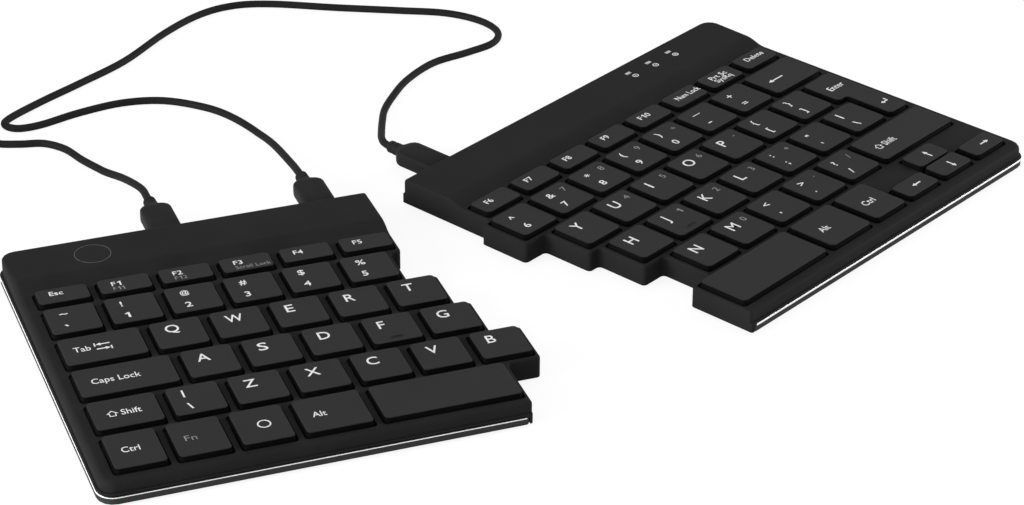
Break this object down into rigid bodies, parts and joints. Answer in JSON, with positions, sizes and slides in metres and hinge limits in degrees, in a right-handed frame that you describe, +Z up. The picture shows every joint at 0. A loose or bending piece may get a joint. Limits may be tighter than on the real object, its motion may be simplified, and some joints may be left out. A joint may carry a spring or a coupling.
{
  "type": "split keyboard",
  "caption": "Low split keyboard in two stepped halves, with spring-back keys, a link cord between the halves and a lead ending in a plug.",
  "frame": {"origin": "desk level, at the centre of the box around both halves, cords left out", "axes": "+X to the user's right along the keyboard, +Y away from the user, +Z up"},
  "size_m": [0.356, 0.295, 0.0102],
  "materials": {
    "case_black": "fine matt texture",
    "base_black": "matt",
    "trim_silver": "satin silver",
    "steel": "zinc plated",
    "plug_steel": "nickel plated",
    "film": "thin film",
    "rubber": "matt",
    "lever_plastic": "moulded",
    "board_green": "solder resist",
    "disc_black": "satin",
    "light_clear": "clear light pipe",
    "key_black": "matt, printed legends",
    "cord_black": "smooth sheath",
    "plug_black": "moulded",
    "tie_black": "hook and loop strap"
  },
  "bodies": {
    "halves": {"left_top_case": "case_black", "left_base": "base_black", "left_trim_strip": "trim_silver", "left_key_plate": "steel", "left_membrane": "film", "left_rubber_domes": "rubber", "left_scissor_levers": "lever_plastic", "left_controller_board": "board_green", "right_top_case": "case_black", "right_base": "base_black", "right_trim_strip": "trim_silver", "right_key_plate": "steel", "right_membrane": "film", "right_rubber_domes": "rubber", "right_scissor_levers": "lever_plastic", "right_link_board": "board_green", "stabiliser_bars": "steel", "usb_sockets": "steel", "rubber_feet": "rubber", "case_screws": "steel", "status_disc": "disc_black", "indicator_lights": "light_clear", "link_cord": "cord_black", "link_plug_left": "plug_black", "link_plug_right": "plug_black", "host_cord": "cord_black", "host_coil": "cord_black", "host_plug": "plug_black", "plug_shells": "steel", "usb_plug": "plug_black", "usb_plug_shell": "plug_steel", "cord_tie": "tie_black"},
    "left_function_keys": {"left_function_keys": "key_black"},
    "left_number_keys": {"left_number_keys": "key_black"},
    "left_upper_letters": {"left_upper_letters": "key_black"},
    "left_middle_letters": {"left_middle_letters": "key_black"},
    "left_lower_letters": {"left_lower_letters": "key_black"},
    "tab_key": {"tab_key": "key_black"},
    "caps_lock_key": {"caps_lock_key": "key_black"},
    "left_shift_key": {"left_shift_key": "key_black"},
    "left_ctrl_key": {"left_ctrl_key": "key_black"},
    "fn_key": {"fn_key": "key_black"},
    "system_key": {"system_key": "key_black"},
    "left_alt_key": {"left_alt_key": "key_black"},
    "left_space_bar": {"left_space_bar": "key_black"},
    "right_function_keys": {"right_function_keys": "key_black"},
    "right_number_keys": {"right_number_keys": "key_black"},
    "right_upper_letters": {"right_upper_letters": "key_black"},
    "right_middle_letters": {"right_middle_letters": "key_black"},
    "right_lower_letters": {"right_lower_letters": "key_black"},
    "backspace_key": {"backspace_key": "key_black"},
    "enter_key": {"enter_key": "key_black"},
    "right_shift_key": {"right_shift_key": "key_black"},
    "right_space_bar": {"right_space_bar": "key_black"},
    "right_alt_key": {"right_alt_key": "key_black"},
    "right_ctrl_key": {"right_ctrl_key": "key_black"},
    "left_arrow_key": {"left_arrow_key": "key_black"},
    "down_arrow_key": {"down_arrow_key": "key_black"},
    "up_arrow_key": {"up_arrow_key": "key_black"},
    "right_arrow_key": {"right_arrow_key": "key_black"}
  },
  "joints": [
    {"name": "left_function_keys_press", "type": "slide", "parent": "halves", "child": "left_function_keys", "axis": [0, 0, -1], "range_m": [0, 0.0018], "stiffness_N_per_m": 300, "springref_m": -0.0005, "deforming": ["left_rubber_domes", "left_scissor_levers", "stabiliser_bars"]},
    {"name": "left_number_keys_press", "type": "slide", "parent": "halves", "child": "left_number_keys", "axis": [0, 0, -1], "range_m": [0, 0.0018], "stiffness_N_per_m": 300, "springref_m": -0.0005},
    {"name": "left_upper_letters_press", "type": "slide", "parent": "halves", "child": "left_upper_letters", "axis": [0, 0, -1], "range_m": [0, 0.0018], "stiffness_N_per_m": 300, "springref_m": -0.0005},
    {"name": "left_middle_letters_press", "type": "slide", "parent": "halves", "child": "left_middle_letters", "axis": [0, 0, -1], "range_m": [0, 0.0018], "stiffness_N_per_m": 300, "springref_m": -0.0005},
    {"name": "left_lower_letters_press", "type": "slide", "parent": "halves", "child": "left_lower_letters", "axis": [0, 0, -1], "range_m": [0, 0.0018], "stiffness_N_per_m": 300, "springref_m": -0.0005},
    {"name": "tab_key_press", "type": "slide", "parent": "halves", "child": "tab_key", "axis": [0, 0, -1], "range_m": [0, 0.0018], "stiffness_N_per_m": 300, "springref_m": -0.0005},
    {"name": "caps_lock_key_press", "type": "slide", "parent": "halves", "child": "caps_lock_key", "axis": [0, 0, -1], "range_m": [0, 0.0018], "stiffness_N_per_m": 300, "springref_m": -0.0005},
    {"name": "left_shift_key_press", "type": "slide", "parent": "halves", "child": "left_shift_key", "axis": [0, 0, -1], "range_m": [0, 0.0018], "stiffness_N_per_m": 300, "springref_m": -0.0005},
    {"name": "left_ctrl_key_press", "type": "slide", "parent": "halves", "child": "left_ctrl_key", "axis": [0, 0, -1], "range_m": [0, 0.0018], "stiffness_N_per_m": 300, "springref_m": -0.0005},
    {"name": "fn_key_press", "type": "slide", "parent": "halves", "child": "fn_key", "axis": [0, 0, -1], "range_m": [0, 0.0018], "stiffness_N_per_m": 300, "springref_m": -0.0005},
    {"name": "system_key_press", "type": "slide", "parent": "halves", "child": "system_key", "axis": [0, 0, -1], "range_m": [0, 0.0018], "stiffness_N_per_m": 300, "springref_m": -0.0005},
    {"name": "left_alt_key_press", "type": "slide", "parent": "halves", "child": "left_alt_key", "axis": [0, 0, -1], "range_m": [0, 0.0018], "stiffness_N_per_m": 300, "springref_m": -0.0005},
    {"name": "left_space_bar_press", "type": "slide", "parent": "halves", "child": "left_space_bar", "axis": [0, 0, -1], "range_m": [0, 0.0018], "stiffness_N_per_m": 300, "springref_m": -0.0005},
    {"name": "right_function_keys_press", "type": "slide", "parent": "halves", "child": "right_function_keys", "axis": [0, 0, -1], "range_m": [0, 0.0018], "stiffness_N_per_m": 300, "springref_m": -0.0005, "deforming": ["right_rubber_domes", "right_scissor_levers"]},
    {"name": "right_number_keys_press", "type": "slide", "parent": "halves", "child": "right_number_keys", "axis": [0, 0, -1], "range_m": [0, 0.0018], "stiffness_N_per_m": 300, "springref_m": -0.0005},
    {"name": "right_upper_letters_press", "type": "slide", "parent": "halves", "child": "right_upper_letters", "axis": [0, 0, -1], "range_m": [0, 0.0018], "stiffness_N_per_m": 300, "springref_m": -0.0005},
    {"name": "right_middle_letters_press", "type": "slide", "parent": "halves", "child": "right_middle_letters", "axis": [0, 0, -1], "range_m": [0, 0.0018], "stiffness_N_per_m": 300, "springref_m": -0.0005},
    {"name": "right_lower_letters_press", "type": "slide", "parent": "halves", "child": "right_lower_letters", "axis": [0, 0, -1], "range_m": [0, 0.0018], "stiffness_N_per_m": 300, "springref_m": -0.0005},
    {"name": "backspace_key_press", "type": "slide", "parent": "halves", "child": "backspace_key", "axis": [0, 0, -1], "range_m": [0, 0.0018], "stiffness_N_per_m": 300, "springref_m": -0.0005},
    {"name": "enter_key_press", "type": "slide", "parent": "halves", "child": "enter_key", "axis": [0, 0, -1], "range_m": [0, 0.0018], "stiffness_N_per_m": 300, "springref_m": -0.0005},
    {"name": "right_shift_key_press", "type": "slide", "parent": "halves", "child": "right_shift_key", "axis": [0, 0, -1], "range_m": [0, 0.0018], "stiffness_N_per_m": 300, "springref_m": -0.0005},
    {"name": "right_space_bar_press", "type": "slide", "parent": "halves", "child": "right_space_bar", "axis": [0, 0, -1], "range_m": [0, 0.0018], "stiffness_N_per_m": 300, "springref_m": -0.0005},
    {"name": "right_alt_key_press", "type": "slide", "parent": "halves", "child": "right_alt_key", "axis": [0, 0, -1], "range_m": [0, 0.0018], "stiffness_N_per_m": 300, "springref_m": -0.0005},
    {"name": "right_ctrl_key_press", "type": "slide", "parent": "halves", "child": "right_ctrl_key", "axis": [0, 0, -1], "range_m": [0, 0.0018], "stiffness_N_per_m": 300, "springref_m": -0.0005},
    {"name": "left_arrow_key_press", "type": "slide", "parent": "halves", "child": "left_arrow_key", "axis": [0, 0, -1], "range_m": [0, 0.0018], "stiffness_N_per_m": 300, "springref_m": -0.0005},
    {"name": "down_arrow_key_press", "type": "slide", "parent": "halves", "child": "down_arrow_key", "axis": [0, 0, -1], "range_m": [0, 0.0018], "stiffness_N_per_m": 300, "springref_m": -0.0005},
    {"name": "up_arrow_key_press", "type": "slide", "parent": "halves", "child": "up_arrow_key", "axis": [0, 0, -1], "range_m": [0, 0.0018], "stiffness_N_per_m": 300, "springref_m": -0.0005},
    {"name": "right_arrow_key_press", "type": "slide", "parent": "halves", "child": "right_arrow_key", "axis": [0, 0, -1], "range_m": [0, 0.0018], "stiffness_N_per_m": 300, "springref_m": -0.0005}
  ]
}
